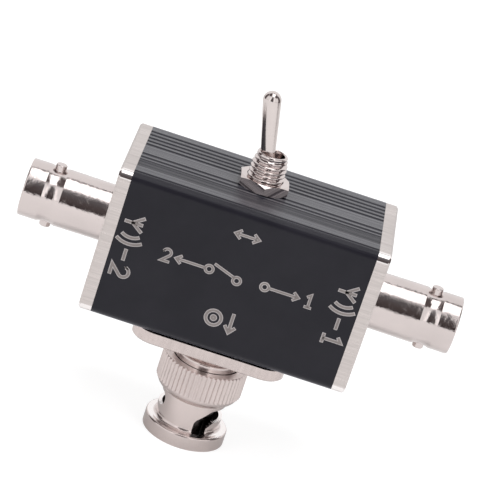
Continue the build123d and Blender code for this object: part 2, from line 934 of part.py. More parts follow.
def make_toggle_case():
    """Open insulating box that holds the terminals."""
    outer_x = case_length / 2
    outer_y = case_width / 2
    inner_x = outer_x - case_wall
    inner_y = outer_y - case_wall
    body = block((-outer_x, outer_x), (-outer_y, outer_y), (case_bottom, case_top))
    body -= block((-inner_x, inner_x), (-inner_y, inner_y), (case_bottom + case_floor, case_top))
    half_x = terminal_thickness / 2 + seat_gap
    half_y = terminal_width / 2 + seat_gap
    for place in (-terminal_spacing, 0, terminal_spacing):
        body -= block((place - half_x, place + half_x), (-half_y, half_y), (case_bottom, case_top))
    return on_toggle(0, body)


def terminal(place, post_top):
    """Solder leg below the case with a contact post inside it."""
    half_leg = terminal_thickness / 2
    half_post = terminal_post_length / 2
    post_bottom = case_bottom + case_floor
    leg = block(
        (place - half_leg, place + half_leg),
        (-terminal_width / 2, terminal_width / 2),
        (case_bottom - terminal_leg, post_bottom),
    )
    post = block(
        (place - half_post, place + half_post),
        (-terminal_post_width / 2, terminal_post_width / 2),
        (post_bottom, post_top),
    )
    return leg + post


def make_terminal_common():
    """Middle terminal with a saddle that carries the rocker."""
    body = terminal(0, rocker_height)
    half = terminal_post_width / 2
    saddle = Rot(90, 0, 0) * rod(rocker_rod_radius + running_gap, -half, half)
    return on_toggle(0, body - Pos(0, 0, rocker_height) * saddle)


def make_side_terminal(side):
    """Outer terminal that the rocker touches when it tips to this side."""
    return on_toggle(0, terminal(side * terminal_spacing, side_contact_height))


def make_rocker_contact():
    """Shallow vee of spring brass with a pivot rod below and a contact button at each end."""
    wing_x = rocker_half_length * cos(radians(rocker_wing_angle))
    wing_z = rocker_half_length * sin(radians(rocker_wing_angle))
    top = rocker_rod_radius
    outline = Polyline(
        (0, top),
        (wing_x, top + wing_z),
        (wing_x, top + wing_z - rocker_thickness),
        (0, top - rocker_thickness),
        (-wing_x, top + wing_z - rocker_thickness),
        (-wing_x, top + wing_z),
        close=True,
    )
    sheet = extrude(Plane.XZ * make_face(outline), rocker_width / 2, both=True)
    half = rocker_width / 2
    bend = Rot(90, 0, 0) * rod(rocker_rod_radius, -half, half)
    above_sheet = block((-wing_x, wing_x), (-half, half), (rocker_thickness / 2, top))
    body = sheet + (bend - above_sheet)
    for sign in (-1, 1):
        lift = terminal_spacing * tan(radians(rocker_wing_angle))
        foot = Pos(sign * terminal_spacing, 0, top + lift - rocker_thickness)
        button = rod(rocker_button_radius, -rocker_button_height, rocker_thickness / 2)
        body += foot * Rot(0, -sign * rocker_wing_angle, 0) * button
    return on_toggle(rocker_height, Rot(0, rocker_lean, 0) * body)


def make_toggle_nut():
    """Nut that holds the toggle switch in the housing's top."""
    nut = hex_nut(toggle_nut_flats, toggle_nut_thickness, bushing_radius + seat_gap)
    return on_toggle(housing_top, Rot(0, 0, toggle_nut_turn) * nut)


def make_toggle_lock_washer():
    """Lock washer between the bracket and the housing's ceiling."""
    washer = lock_washer(toggle_washer_radius, bushing_radius + loose_gap)
    return on_toggle(toggle_washer_bottom, washer)


# ---------------------------------------------------------------- wiring


def make_side_wire(side):
    """Wire from a jack's solder cup to the terminal on the same side."""
    start = contact_rear() + contact_cup_depth - running_gap
    end = side * toggle_place + terminal_spacing + terminal_thickness / 2 + seat_gap
    return bent_wire(
        (side * start, 0, port_height),
        (side * contact_rear(), 0, port_height),
        (side * end, 0, case_bottom - side_wire_drop),
    )


def make_wire_common():
    """Wire from the plug's centre pin to the foot of the middle terminal."""
    cup_bottom = center_pin_top() - center_pin_tail
    leg_bottom = case_bottom - terminal_leg
    return bent_wire(
        (0, 0, cup_bottom + running_gap),
        (0, 0, center_pin_top()),
        (toggle_place, 0, leg_bottom - seat_gap),
    )


# ---------------------------------------------------------------- all pieces


def all_pieces():
    """Every piece by the name of its node."""
    pieces = {
        "housing": make_housing(),
        "bottom_flange": make_bottom_flange(),
        "flange_screws": make_flange_screws(),
        "plug_rear_body": make_plug_rear_body(),
        "plug_outer_contact": make_plug_outer_contact(),
        "plug_insulator": make_plug_insulator(),
        "plug_center_pin": make_plug_center_pin(),
        "plug_gasket": make_plug_gasket(),
        "plug_lock_washer": make_plug_lock_washer(),
        "plug_nut": make_plug_nut(),
        "coupling_ring": make_coupling_ring(),
        "wave_washer": make_wave_washer(),
        "thrust_washer": make_thrust_washer(),
        "retaining_ring": make_retaining_ring(),
        "toggle_bushing": make_toggle_bushing(),
        "toggle_lever": make_toggle_lever(),
        "lever_pin": make_lever_pin(),
        "toggle_plunger": make_toggle_plunger(),
        "plunger_spring": make_plunger_spring(),
        "toggle_bracket": make_toggle_bracket(),
        "toggle_case": make_toggle_case(),
        "terminal_common": make_terminal_common(),
        "rocker_contact": make_rocker_contact(),
        "toggle_nut": make_toggle_nut(),
        "toggle_lock_washer": make_toggle_lock_washer(),
        "wire_common": make_wire_common(),
    }
    for name, side in SIDES.items():
        pieces["end_plate_" + name] = make_end_plate(side)
        pieces["end_screws_" + name] = make_end_screws(side)
        pieces["jack_shell_" + name] = make_jack_shell(side)
        pieces["jack_insulator_" + name] = make_jack_insulator(side)
        pieces["jack_contact_" + name] = make_jack_contact(side)
        pieces["jack_lock_washer_" + name] = make_jack_lock_washer(side)
        pieces["jack_nut_" + name] = make_jack_nut(side)
        pieces["terminal_" + name] = make_side_terminal(side)
        pieces["wire_" + name] = make_side_wire(side)
    return pieces


os.makedirs("parts", exist_ok=True)
for node, piece in all_pieces().items():
    export_step(piece, "parts/" + node + ".step")
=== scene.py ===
"""Looks of the coaxial antenna switch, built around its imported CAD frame.

Metres, +X towards the right-hand jack, +Y to the back, +Z up towards the toggle.
"""

import json
from math import asin, atan2, ceil, cos, pi, radians, sin, tan

import bmesh
import bpy
from mathutils import Matrix, Vector

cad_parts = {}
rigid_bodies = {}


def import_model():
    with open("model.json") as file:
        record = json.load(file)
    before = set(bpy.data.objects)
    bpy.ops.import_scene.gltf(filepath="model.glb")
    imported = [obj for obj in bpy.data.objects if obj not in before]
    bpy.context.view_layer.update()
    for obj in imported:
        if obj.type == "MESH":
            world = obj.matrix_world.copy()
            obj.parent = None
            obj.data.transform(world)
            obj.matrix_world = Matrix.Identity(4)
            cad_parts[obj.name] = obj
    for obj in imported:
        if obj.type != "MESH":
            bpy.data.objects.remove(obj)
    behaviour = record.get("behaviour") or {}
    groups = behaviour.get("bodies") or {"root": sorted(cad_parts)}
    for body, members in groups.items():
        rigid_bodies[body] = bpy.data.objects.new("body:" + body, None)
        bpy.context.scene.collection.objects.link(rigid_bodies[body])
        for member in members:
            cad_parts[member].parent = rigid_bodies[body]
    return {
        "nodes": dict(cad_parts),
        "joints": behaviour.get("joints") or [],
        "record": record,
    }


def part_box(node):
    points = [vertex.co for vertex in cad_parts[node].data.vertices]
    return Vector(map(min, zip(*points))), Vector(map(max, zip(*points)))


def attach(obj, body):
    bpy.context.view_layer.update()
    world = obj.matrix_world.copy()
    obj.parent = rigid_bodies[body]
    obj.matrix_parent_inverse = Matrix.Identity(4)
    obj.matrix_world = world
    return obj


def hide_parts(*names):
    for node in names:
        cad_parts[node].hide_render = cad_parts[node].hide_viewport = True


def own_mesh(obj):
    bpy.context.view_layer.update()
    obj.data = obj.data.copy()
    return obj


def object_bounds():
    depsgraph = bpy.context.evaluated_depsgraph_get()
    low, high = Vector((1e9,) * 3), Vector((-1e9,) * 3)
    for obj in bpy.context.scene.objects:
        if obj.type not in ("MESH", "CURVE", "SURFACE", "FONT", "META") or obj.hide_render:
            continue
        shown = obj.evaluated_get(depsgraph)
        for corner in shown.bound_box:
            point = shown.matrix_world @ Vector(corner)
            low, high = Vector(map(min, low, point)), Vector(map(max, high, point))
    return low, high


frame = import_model()
cad_box = [list(corner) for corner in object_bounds()]
bpy.context.scene.view_settings.view_transform = "Standard"

MM = 0.001
SIDES = {"left": -1, "right": 1}

# ---------------------------------------------------------------- places read from the frame

housing_low, housing_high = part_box("housing")
housing_middle = (housing_low + housing_high) / 2
front_y = housing_low.y
lever_pivot = Vector(next(j for j in frame["joints"] if j["name"] == "toggle_throw")["pos_m"])


# ---------------------------------------------------------------- node helpers


class Shader:
    """Small builder for one node-based material."""

    def __init__(self, name):
        self.material = bpy.data.materials.new(name)
        self.material.use_nodes = True
        self.nodes = self.material.node_tree.nodes
        self.links = self.material.node_tree.links
        self.main = self.nodes["Principled BSDF"]
        coordinates = self.add("ShaderNodeTexCoord").outputs
        self.place = coordinates["Object"]
        self.normal = coordinates["Normal"]

    def add(self, kind, **settings):
        """A node of this kind with its settings."""
        node = self.nodes.new(kind)
        for name, value in settings.items():
            setattr(node, name, value)
        return node

    def link(self, output, target):
        """Join an output socket to an input socket."""
        self.links.new(output, target)

    def set(self, **values):
        """Constant values on the main shader's own sockets, with underscores for spaces."""
        for name, value in values.items():
            self.main.inputs[name.replace("_", " ")].default_value = value

    def stretched(self, scale):
        """Object coordinates scaled along each axis, in features per metre."""
        mapping = self.add("ShaderNodeMapping")
        mapping.inputs["Scale"].default_value = scale
        self.link(self.place, mapping.inputs["Vector"])
        return mapping.outputs["Vector"]

    def noise(self, density, detail=3.0, roughness=0.55):
        """Noise between 0 and 1 with one feature density, or one for each axis."""
        scale = density if isinstance(density, tuple) else (density,) * 3
        node = self.add("ShaderNodeTexNoise")
        node.inputs["Scale"].default_value = 1.0
        node.inputs["Detail"].default_value = detail
        node.inputs["Roughness"].default_value = roughness
        self.link(self.stretched(scale), node.inputs["Vector"])
        return node.outputs["Fac"]

    def ramp(self, value, low, high, low_out=0, high_out=1):
        """Map a value from one range to another, without leaving the new range."""
        node = self.add("ShaderNodeMapRange", clamp=True)
        self.link(value, node.inputs["Value"])
        node.inputs["From Min"].default_value = low
        node.inputs["From Max"].default_value = high
        node.inputs["To Min"].default_value = low_out
        node.inputs["To Max"].default_value = high_out
        return node.outputs["Result"]

    def blend(self, factor, first, second):
        """Mix two colours by a factor."""
        node = self.add("ShaderNodeMix", data_type="RGBA")
        self.link(factor, node.inputs["Factor"])
        for socket, value in ((node.inputs[6], first), (node.inputs[7], second)):
            if isinstance(value, (tuple, list)):
                socket.default_value = (*value[:3], 1.0)
            else:
                self.link(value, socket)
        return node.outputs[2]

    def mix_values(self, factor, first, second):
        """Mix a value with another value or number by a factor."""
        node = self.add("ShaderNodeMix")
        self.link(factor, node.inputs["Factor"])
        self.link(first, node.inputs[2])
        node.inputs[3].default_value = second
        return node.outputs[0]

    def parts_of(self, vector):
        """The X, Y and Z outputs of a vector."""
        node = self.add("ShaderNodeSeparateXYZ")
        self.link(vector, node.inputs[0])
        return node.outputs

    def corner(self):
        """One where the surface leans between Y and Z, and zero where it faces along an axis."""
        normal = self.parts_of(self.normal)
        lean = self.add("ShaderNodeMath", operation="MULTIPLY")
        self.link(normal["Y"], lean.inputs[0])
        self.link(normal["Z"], lean.inputs[1])
        size = self.add("ShaderNodeMath", operation="ABSOLUTE")
        self.link(lean.outputs[0], size.inputs[0])
        return self.ramp(size.outputs[0], 0.05, 0.14)

    def upward(self):
        """One where the surface looks straight up, and zero on upright walls."""
        return self.ramp(self.parts_of(self.normal)["Z"], 0.75, 0.95)

    def above(self, height):
        """One above a height in metres, and zero a little below it."""
        return self.ramp(self.parts_of(self.place)["Z"], height - FADE, height)

    def beyond(self, radius):
        """One outside a radius in metres about the upright axis, and zero a little inside it."""
        return self.ramp(self.radius(), radius - FADE, radius)

    def radius(self):
        """Distance in metres from the upright axis in the middle of the part."""
        flat = self.add("ShaderNodeVectorMath", operation="MULTIPLY")
        flat.inputs[1].default_value = (1, 1, 0)
        self.link(self.place, flat.inputs[0])
        length = self.add("ShaderNodeVectorMath", operation="LENGTH")
        self.link(flat.outputs[0], length.inputs[0])
        return length.outputs["Value"]

    def bump(self, height, distance):
        """Add a height to the main shader's normal; distance is in metres."""
        node = self.add("ShaderNodeBump")
        node.inputs["Distance"].default_value = distance
        self.link(height, node.inputs["Height"])
        for link in self.main.inputs["Normal"].links:
            self.link(link.from_socket, node.inputs["Normal"])
        self.link(node.outputs["Normal"], self.main.inputs["Normal"])


# ---------------------------------------------------------------- materials

# Painted highlight: a lighter colour for lit corners and up-facing surfaces.
PAINTED_HIGHLIGHT = (0.93, 0.88, 0.87)
# Painted shade: dark colour for metal deep inside unlit bores.
BORE_SHADE = (0.05, 0.045, 0.045)
NICKEL = (0.69, 0.615, 0.60)
SATIN_NICKEL = (0.66, 0.575, 0.555)
LEVER_NICKEL = (0.7, 0.63, 0.61)
ALUMINIUM = (0.67, 0.61, 0.59)
BLACK = (0.005, 0.0045, 0.0085)
WORN_BLACK = (0.009, 0.0083, 0.013)
TARNISH = 0.93
SATIN_FACTOR = 1.7
FADE = 0.35 * MM
GRAIN_DEPTH = 0.6e-6
BRUSH_DEPTH = 2.5e-6
EXTRUSION_DEPTH = 3e-4
BLASTED_DEPTH = 1.5e-5


def shaded(color, factor):
    """A colour made darker by a factor."""
    return tuple(factor * channel for channel in color)


def plated_metal(name, color, roughness, mottle=None, bore_shade_radius=None, satin_above=None,
                 painted_top_highlight=None):
    """Plated or polished metal with faint cloudiness and a fine surface grain.

    A mottle depth gives it uneven spots. Inside the bore radius given, the colour is a painted
    shade for the unlit depth of the bore.
    Metal above the satin height is duller. Surfaces that look up can take a lighter colour, a
    painted highlight for the light falling on them.
    """
    shader = Shader(name)
    shader.set(Metallic=1.0)
    cloud = shader.noise(160, detail=4.0)
    surface = shader.blend(shader.ramp(cloud, 0.35, 0.7), color, shaded(color, TARNISH))
    # Painted shade: inside the bore radius the metal takes the dark shade colour.
    if bore_shade_radius:
        surface = shader.blend(shader.beyond(bore_shade_radius), BORE_SHADE, surface)
    # Painted highlight: surfaces that look up take a lighter colour.
    if painted_top_highlight:
        surface = shader.blend(shader.upward(), surface, painted_top_highlight)
    shader.link(surface, shader.main.inputs["Base Color"])
    shader.bump(shader.noise(900, detail=2.0), GRAIN_DEPTH)
    if mottle:
        spots = shader.noise(1100, detail=4.0, roughness=0.6)
        shader.bump(spots, mottle)
        rough = shader.ramp(spots, 0.5, 0.7, roughness, roughness * 3)
    else:
        smear = shader.noise(420, detail=3.0)
        rough = shader.ramp(smear, 0.3, 0.75, roughness * 0.8, roughness * 1.35)
    if satin_above:
        rough = shader.mix_values(shader.above(satin_above), rough, roughness * SATIN_FACTOR)
    shader.link(rough, shader.main.inputs["Roughness"])
    return shader.material


def brushed_metal(name, color, roughness, grain, contrast=0.86, corner_roughness=None):
    """Metal with straight brush lines, whose density along each axis is the grain.

    With a corner roughness, the rounded corners that run along X are polished, and their colour
    is lightened to a painted highlight.
    """
    shader = Shader(name)
    shader.set(Metallic=1.0)
    lines = shader.noise(grain, detail=4.0, roughness=0.65)
    surface = shader.blend(shader.ramp(lines, 0.3, 0.7), shaded(color, contrast), color)
    rough = shader.ramp(lines, 0.25, 0.75, roughness * 1.25, roughness * 0.8)
    height = lines
    if corner_roughness:
        corner = shader.corner()
        # Painted highlight: the polished corners take a lighter colour.
        surface = shader.blend(corner, surface, PAINTED_HIGHLIGHT)
        rough = shader.mix_values(corner, rough, corner_roughness)
        height = shader.mix_values(corner, lines, 0.5)
    shader.link(surface, shader.main.inputs["Base Color"])
    shader.link(rough, shader.main.inputs["Roughness"])
    shader.bump(height, BRUSH_DEPTH)
    return shader.material


def anodised_black(name):
    """Satin black anodising with faint extrusion lines along the housing."""
    shader = Shader(name)
    lines = shader.noise((12, 1500, 60))
    cloud = shader.noise(120, detail=5.0)
    shader.set(IOR=1.25, Coat_Weight=1.0, Coat_IOR=1.2, Coat_Roughness=0.32,
               Sheen_Weight=0.5, Sheen_Roughness=0.35, Sheen_Tint=(0.88, 0.87, 1.0, 1.0))
    shader.link(shader.blend(shader.ramp(cloud, 0.35, 0.7), BLACK, WORN_BLACK),
                shader.main.inputs["Base Color"])
    shader.link(shader.ramp(lines, 0.3, 0.7, 0.3, 0.4), shader.main.inputs["Roughness"])
    shader.bump(lines, EXTRUSION_DEPTH)
    shader.bump(shader.noise((1300, 1700, 1700)), BLASTED_DEPTH)
    return shader.material


def moulded(name, color, roughness, depth=4e-6, variation=0.85):
    """Plastic, rubber or paint with slight colour variation and a fine texture."""
    shader = Shader(name)
    cloud = shader.noise(220, detail=4.0)
    shader.link(shader.blend(shader.ramp(cloud, 0.3, 0.7), color, shaded(color, variation)),
                shader.main.inputs["Base Color"])
    shader.link(shader.ramp(cloud, 0.3, 0.7, roughness, roughness * 1.2),
                shader.main.inputs["Roughness"])
    shader.bump(shader.noise(2600, detail=2.0), depth)
    return shader.material


MATERIALS = {
    "housing_black": anodised_black("anodised_housing"),
    # End plates: polished corners with a painted highlight colour.
    "end_plate": brushed_metal("brushed_end_plate", ALUMINIUM, 0.3, (120, 1500, 5200),
                               contrast=0.8, corner_roughness=0.06),
    "flange_plate": brushed_metal("brushed_flange", SATIN_NICKEL, 0.26, (1500, 1500, 300)),
    "jack_nickel": plated_metal("jack_plating", NICKEL, 0.08, mottle=4e-5),
    "plug_nickel": plated_metal("plug_plating", SATIN_NICKEL, 0.12),
    # Painted shade on the metal inside the ring's bore.
    "ring_nickel": plated_metal("ring_plating", SATIN_NICKEL, 0.17, bore_shade_radius=5.3 * MM,
                                # Painted highlight on the ring's surfaces that look up.
                                satin_above=8.2 * MM, painted_top_highlight=PAINTED_HIGHLIGHT),
    "toggle_nickel": plated_metal("toggle_plating", NICKEL, 0.09),
    "fastener": plated_metal("zinc_steel", (0.55, 0.53, 0.52), 0.25),
    "spring_steel": plated_metal("spring_steel", (0.42, 0.40, 0.39), 0.3),
    "contact_gold": plated_metal("gold_plating", (0.80, 0.56, 0.22), 0.15),
    "terminal_silver": plated_metal("silver_plating", (0.75, 0.73, 0.68), 0.2),
    "insulator": moulded("white_insulator", (0.80, 0.79, 0.76), 0.4),
    "case_phenolic": moulded("phenolic_case", (0.13, 0.03, 0.02), 0.45),
    "plunger_acetal": moulded("acetal_plunger", (0.7, 0.68, 0.58), 0.4),
    "gasket_silicone": moulded("silicone_gasket", (0.45, 0.06, 0.03), 0.6),
    "wire_insulation": moulded("wire_sleeve", (0.3, 0.01, 0.01), 0.45),
}

MARK_EDGE = moulded("mark_edge", (0.38, 0.35, 0.35), 0.6, depth=1e-6, variation=0.75)
MARK_MIDDLE = moulded("mark_middle", (0.2, 0.175, 0.17), 0.6, depth=1e-6, variation=0.8)

OWN_FINISH = {
    # Painted shade: the whole contact tube lies inside its bore radius, so all of it is painted
    # dark.
    "plug_outer_contact": plated_metal("contact_tube_plating", SATIN_NICKEL, 0.25,
                                       bore_shade_radius=10.0 * MM),
    "toggle_lever": plated_metal("lever_plating", LEVER_NICKEL, 0.13),
}

for part in frame["record"]["subparts"]:
    node = frame["nodes"][part["node"]]
    node.data.materials.clear()
    node.data.materials.append(OWN_FINISH.get(part["node"], MATERIALS[part["material_slot"]]))


# ---------------------------------------------------------------- mesh helpers

ARC_STEP = radians(7.5)
SHARP_ANGLE = radians(10.5)
LATHE_SEGMENTS = 96
ON_AXIS = 1e-6


def arc(centre, radius, start, turn):
    """Points in mm along an arc, from a start angle through a turn, both in radians."""
    steps = max(2, ceil(abs(turn) / ARC_STEP))
    angles = [start + turn * n / steps for n in range(steps + 1)]
    return [centre + radius * Vector((cos(angle), sin(angle))) for angle in angles]


def rounded(*corners):
    """Closed outline in mm from (across, along) corners; a third value rounds that corner."""
    points = []
    for n, corner in enumerate(corners):
        here = Vector(corner[:2])
        if len(corner) == 2:
            points.append(here)
            continue
        before = (Vector(corners[n - 1][:2]) - here).normalized()
        after = (Vector(corners[(n + 1) % len(corners)][:2]) - here).normalized()
        half = before.angle(after) / 2
        centre = here + (before + after).normalized() * corner[2] / sin(half)
        first = here + before * corner[2] / tan(half) - centre
        last = here + after * corner[2] / tan(half) - centre
        start = atan2(first.y, first.x)
        turn = (atan2(last.y, last.x) - start + pi) % (2 * pi) - pi
        points += arc(centre, corner[2], start, turn)
    return points


def spin(outline_at, place=Matrix.Identity(4), mesh=None):
    """Turn a closed outline about Z; outline_at gives its (radius, height) mm at an angle."""
    mesh = mesh or bmesh.new()
    columns = []
    for n in range(LATHE_SEGMENTS):
        angle = 2 * pi * n / LATHE_SEGMENTS
        column = []
        for m, (radius, height) in enumerate(outline_at(angle)):
            if radius < ON_AXIS and n:
                column.append(columns[0][m])
                continue
            point = Vector((radius * cos(angle), radius * sin(angle), height)) * MM
            column.append(mesh.verts.new(place @ point))
        columns.append(column)
    for n in range(LATHE_SEGMENTS):
        left, right = columns[n - 1], columns[n]
        for m in range(len(left)):
            corners = [left[m - 1], right[m - 1], right[m], left[m]]
            corners = [vert for k, vert in enumerate(corners) if vert not in corners[:k]]
            if len(corners) > 2:
                mesh.faces.new(corners)
    return mesh


def lathe(outline, place=Matrix.Identity(4), mesh=None):
    """Turn one closed outline of (radius, height) points in mm about Z."""
    return spin(lambda angle: outline, place, mesh)


def add_object(name, data):
    """New object in the scene."""
    added = bpy.data.objects.new(name, data)
    bpy.context.scene.collection.objects.link(added)
    return added


def make_piece(name, mesh, body, material, replaced=None):
    """Object from a bmesh, smooth between its sharp edges, riding on a body."""
    bmesh.ops.recalc_face_normals(mesh, faces=mesh.faces)
    data = bpy.data.meshes.new(name)
    mesh.to_mesh(data)
    mesh.free()
    data.polygons.foreach_set("use_smooth", [True] * len(data.polygons))
    data.set_sharp_from_angle(angle=SHARP_ANGLE)
    data.materials.append(material)
    piece = add_object(name, data)
    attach(piece, body)
    if replaced:
        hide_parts(replaced)
    return piece


# ---------------------------------------------------------------- jack shells

JACK_RADIUS = 4.8
JACK_BORE = 4.05
JACK_BORE_DEPTH = 9.0
JACK_STUB_RADIUS = 4.0
JACK_THROUGH_BORE = 2.5
JACK_RIM_ROUNDING = 0.25
JACK_EDGE_ROUNDING = 0.12
BAND_SETBACK = 4.65
BAND_WIDTH = 3.0
BAND_DEPTH = 0.27
LUG_RADIUS = 0.93
LUG_REACH = 5.5
LUG_ROUNDING = 0.18
LUG_SKIRT_RADIUS = 0.97
LUG_SKIRT_TOP = 4.85
LUG_FOOT = 4.3


def band_outline(middle):
    """Shallow hollow band round the barrel, an arc in section."""
    half = BAND_WIDTH / 2
    radius = (half ** 2 + BAND_DEPTH ** 2) / (2 * BAND_DEPTH)
    centre = Vector((JACK_RADIUS - BAND_DEPTH + radius, middle))
    reach = asin(half / radius)
    return arc(centre, radius, pi + reach, -2 * reach)


def make_jack(side):
    """Barrel with its bore, hollow band and two bayonet lugs."""
    low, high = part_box("jack_shell_" + side)
    tail, rim = sorted((abs(low.x) / MM, abs(high.x) / MM))
    plate = abs(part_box("end_plate_" + side)[SIDES[side] > 0].x) / MM
    out = Vector((SIDES[side], 0, 0))
    up = Vector((0, 0, 1))
    turn = Matrix((up, out.cross(up), out)).transposed().to_4x4()
    place = Matrix.Translation((0, 0, housing_middle.z)) @ turn
    band_middle = rim - BAND_SETBACK
    shell = lathe([
        *rounded((JACK_THROUGH_BORE, tail), (JACK_STUB_RADIUS, tail), (JACK_STUB_RADIUS, plate),
                 (JACK_RADIUS, plate, JACK_EDGE_ROUNDING))[:-1],
        *band_outline(band_middle),
        *rounded((JACK_RADIUS, rim, JACK_RIM_ROUNDING), (JACK_BORE, rim, JACK_EDGE_ROUNDING),
                 (JACK_BORE, rim - JACK_BORE_DEPTH), (JACK_THROUGH_BORE, rim - JACK_BORE_DEPTH),
                 (JACK_THROUGH_BORE, tail), (JACK_RADIUS, tail))[:-2],
    ], place)
    for lean in (pi / 2, -pi / 2):
        to_lug = Matrix.Translation((0, 0, band_middle * MM)) @ Matrix.Rotation(lean, 4, "Y")
        lug = rounded((0, LUG_FOOT), (LUG_SKIRT_RADIUS, LUG_FOOT), (LUG_RADIUS, LUG_SKIRT_TOP),
                      (LUG_RADIUS, LUG_REACH, LUG_ROUNDING), (0, LUG_REACH))
        lathe(lug, place @ to_lug, shell)
    make_piece("jack_barrel_" + side, shell, "switch_body", MATERIALS["jack_nickel"],
               "jack_shell_" + side)


for side in SIDES:
    make_jack(side)


# ---------------------------------------------------------------- toggle bushing

THREAD_PITCH = 0.78
THREAD_ROWS = 16
THREAD_CREST = 2.94
THREAD_DEPTH = 0.34
THREAD_START = 46.4
THREAD_START_STEP = 0.01
THREAD_SHARPNESS = 1.3
RUNOUT_START = 0.2
RUNOUT_LENGTH = 0.9
BUSHING_ROOT = 2.6
MOUTH_RADIUS = 2.02
MOUTH_LIP = 0.1
RIM_RADIUS = 2.45
RIM_TAPER = 0.27
RIM_ROUNDING = 0.18
SEAT_RADIUS = 1.58
SEAT_LIP = radians(63)
TAIL_MOUTH = 2.15


def thread_radius(height, top, angle):
    """Radius of the right-hand thread and the tapered rim above it."""
    below = top - height
    phase = height / THREAD_PITCH - angle / (2 * pi)
    depth = THREAD_DEPTH * min(1.0, max(0.0, (below - RUNOUT_START) / RUNOUT_LENGTH))
    crest = min(THREAD_CREST, RIM_RADIUS + RIM_TAPER * below)
    radius = crest - depth * (0.5 - 0.5 * cos(2 * pi * phase)) ** THREAD_SHARPNESS
    if below < RIM_ROUNDING:
        radius -= RIM_ROUNDING - (RIM_ROUNDING ** 2 - (RIM_ROUNDING - below) ** 2) ** 0.5
    return radius


def make_bushing():
    """Bushing with a cut thread, a tapered rim and the lever's seat."""
    low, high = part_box("toggle_bushing")
    bottom, top = low.z / MM, high.z / MM
    pivot = lever_pivot.z / MM
    lip = SEAT_RADIUS * sin(SEAT_LIP)
    rise = SEAT_RADIUS * cos(SEAT_LIP)
    steps = round((top - THREAD_START) / THREAD_PITCH * THREAD_ROWS)
    heights = [THREAD_START + (top - THREAD_START) * n / steps for n in range(steps + 1)]
    curve = arc(Vector((0, 0)), SEAT_RADIUS, pi / 2 - SEAT_LIP, 2 * SEAT_LIP - pi)
    seat = [(point.x, pivot + point.y) for point in curve]
    inner = [(MOUTH_RADIUS + MOUTH_LIP, top), (MOUTH_RADIUS, top - MOUTH_LIP),
             (lip, pivot + rise), *seat[1:-1], (lip, pivot - rise), (TAIL_MOUTH, bottom)]

    def outline_at(angle):
        """Closed section of the bushing at an angle."""
        outer = [(BUSHING_ROOT, bottom), (BUSHING_ROOT, THREAD_START - THREAD_START_STEP)]
        outer += [(thread_radius(height, top, angle), height) for height in heights]
        return outer + inner

    bushing = spin(outline_at, Matrix.Translation((lever_pivot.x, 0, 0)))
    make_piece("threaded_bushing", bushing, "switch_body", MATERIALS["toggle_nickel"],
               "toggle_bushing")


make_bushing()


# ---------------------------------------------------------------- springs

SPRING_JOINTS = {"wave_washer": "ring_slide", "plunger_spring": "plunger_slide"}


def make_spring(node):
    """A copy of the spring on its joint's parent body, with a mesh of its own."""
    joints = frame["record"]["behaviour"]["joints"]
    joint = next(row for row in joints if row["name"] == SPRING_JOINTS[node])
    mesh = bmesh.new()
    mesh.from_mesh(frame["nodes"][node].data)
    piece = make_piece("pressed_" + node, mesh, joint["parent"], MATERIALS["spring_steel"],
                       node)
    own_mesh(piece)


for node in SPRING_JOINTS:
    make_spring(node)


# ---------------------------------------------------------------- marks on the front

EDGE_WIDTH = 0.12
EDGE_HEIGHT = 0.010
FILL_HEIGHT = 0.018
WIDE_STROKE = 0.6
FINE_STROKE = 0.5
SHARPEST_MITRE = 0.35
BARB_SPREAD = 0.8


def offset_side(points, reach, closed):
    """Points moved sideways off a line, with mitred corners."""
    moved = []
    count = len(points)
    for n, point in enumerate(points):
        ahead = points[(n + 1) % count] - point if closed or n < count - 1 else None
        behind = point - points[n - 1] if closed or n > 0 else None
        ahead = (ahead or behind).normalized()
        behind = (behind or ahead).normalized()
        along = (ahead + behind).normalized()
        across = Vector((-along.y, along.x))
        moved.append(point + across * reach / max(SHARPEST_MITRE, along.dot(ahead)))
    return moved


def add_stroke(mesh, points, width, height, extra, closed=False):
    """Thin raised ribbon along a line of (x, z) points in mm on the housing's front."""
    points = [Vector(point) for point in points]
    if not closed:
        points[0] = points[0] - (points[1] - points[0]).normalized() * extra
        points[-1] = points[-1] + (points[-1] - points[-2]).normalized() * extra
    half = width / 2 + extra
    left, right = offset_side(points, half, closed), offset_side(points, -half, closed)
    y = front_y - height * MM
    rows = []
    for a, b in zip(left, right):
        rows.append([mesh.verts.new((p.x * MM, depth, p.y * MM))
                     for p, depth in ((a, y), (b, y), (b, front_y), (a, front_y))])
    pairs = list(zip(rows, rows[1:])) + ([(rows[-1], rows[0])] if closed else [])
    for a, b in pairs:
        for n in range(4):
            mesh.faces.new((a[n - 1], b[n - 1], b[n], a[n]))
    if not closed:
        mesh.faces.new(rows[0])
        mesh.faces.new(rows[-1][::-1])


def make_marks(name, strokes, width):
    """Marks as two thin layers of ribbon: a pale edge and a darker middle on top of it."""
    for part, height, extra, material in (
        ("edges", EDGE_HEIGHT, 0.0, MARK_EDGE),
        ("middles", FILL_HEIGHT, -EDGE_WIDTH, MARK_MIDDLE),
    ):
        mesh = bmesh.new()
        for points, closed in strokes:
            add_stroke(mesh, points, width, height, extra, closed)
        make_piece(name + "_" + part, mesh, "switch_body", material)


def circle(x, z, radius):
    """Closed line round a point."""
    return arc(Vector((x, z)), radius, 0, 2 * pi)[:-1], True


def line(*points):
    """Open line through points."""
    return [Vector(point) for point in points], False


def arrow_head(tip, along, size):
    """Open line that makes an arrow's head."""
    tip, along = Vector(tip), Vector(along).normalized()
    across = Vector((-along.y, along.x)) * size * BARB_SPREAD
    foot = tip - size * along
    return line(foot + across, tip, foot - across)


def digit_one():
    """Numeral one in a unit box two thirds as wide as high."""
    return [line((0.1, 0.76), (0.36, 0.96), (0.36, 0.0)), line((0.08, 0.04), (0.62, 0.04))]


